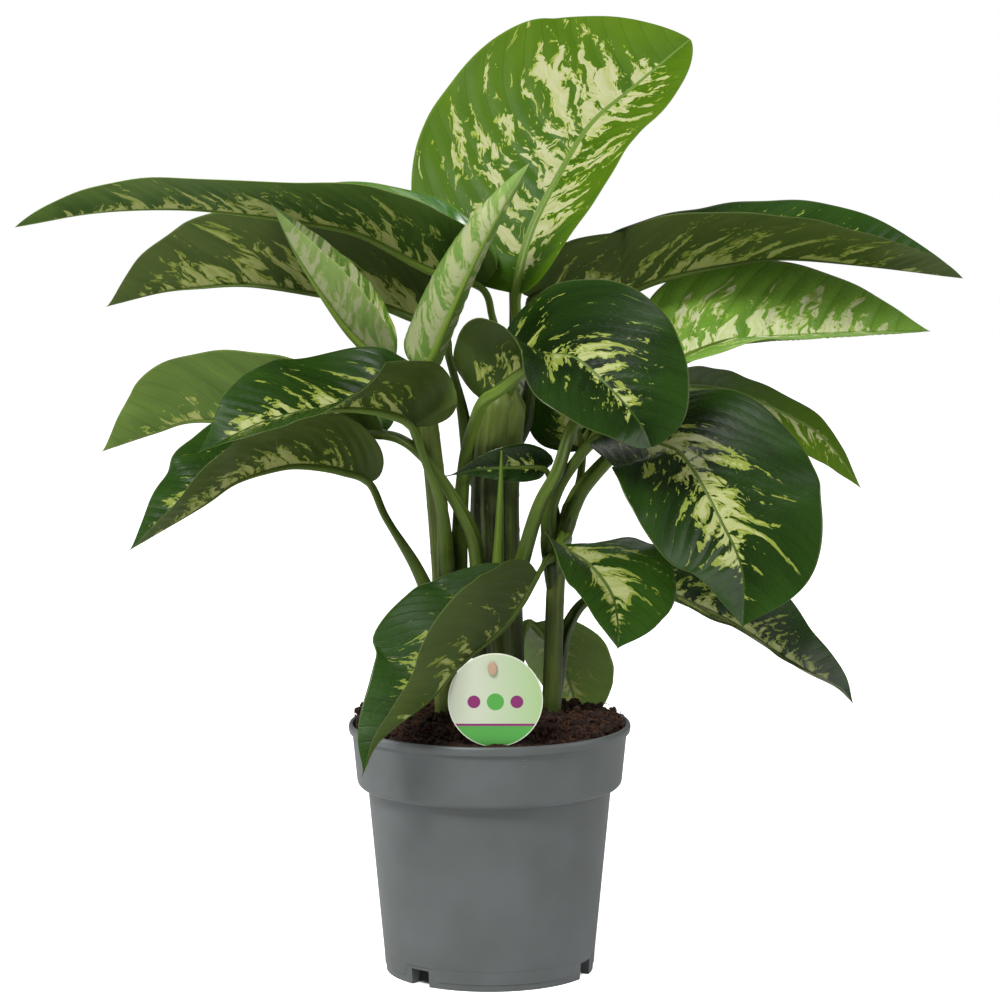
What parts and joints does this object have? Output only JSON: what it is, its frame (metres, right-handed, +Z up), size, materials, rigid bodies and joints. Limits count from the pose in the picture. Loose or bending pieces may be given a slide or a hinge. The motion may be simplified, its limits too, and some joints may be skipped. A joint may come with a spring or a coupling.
{
  "type": "potted dieffenbachia",
  "caption": "Potted dieffenbachia: grey round nursery pot filled with peat, four upright canes, and broad variegated leaves on long stalks, with a plain round plant label.",
  "frame": {"origin": "centre of the pot's underside, on the flat pad and foot ring that it stands on", "axes": "+Z up along the pot's axis, -Y the plant's front as pictured, +X to the right seen from the front"},
  "size_m": [0.6387, 0.3536, 0.641],
  "materials": {
    "pot_plastic": "moulded grey plastic, satin, slightly scuffed",
    "peat": "damp dark brown peat fibre, rough",
    "cane": "green stem skin, satin",
    "leaf_bright": "waxy green leaf with cream variegation, satin",
    "leaf_dark": "waxy dark green leaf with lime variegation, satin",
    "leaf_pale": "young rolled leaf, pale green, satin",
    "label_plastic": "thin printed plastic, smooth",
    "stake_plastic": "beige moulded plastic"
  },
  "bodies": {
    "root": {"pot": "pot_plastic", "soil": "peat", "cane_left": "cane", "cane_front": "cane", "cane_right": "cane", "cane_middle": "cane", "leaf_spear": "leaf_pale", "label_disc": "label_plastic", "label_stake": "stake_plastic", "leaf_crown": "leaf_bright", "leaf_upper_left": "leaf_bright", "leaf_back_left": "leaf_dark", "leaf_rolled_right": "leaf_pale", "leaf_rolled_left": "leaf_pale", "leaf_front_left": "leaf_dark", "leaf_middle_left": "leaf_bright", "leaf_lower_left": "leaf_dark", "leaf_low_front": "leaf_dark", "leaf_small_right": "leaf_bright", "leaf_front_centre": "leaf_dark", "leaf_big_right": "leaf_dark", "leaf_low_right": "leaf_dark", "leaf_middle_right": "leaf_bright", "leaf_upper_right": "leaf_dark", "leaf_back_right": "leaf_bright", "leaf_inner_back": "leaf_dark", "leaf_inner_small": "leaf_dark", "leaf_back_high": "leaf_bright", "leaf_back_centre": "leaf_bright", "leaf_low_back": "leaf_bright"}
  },
  "joints": []
}
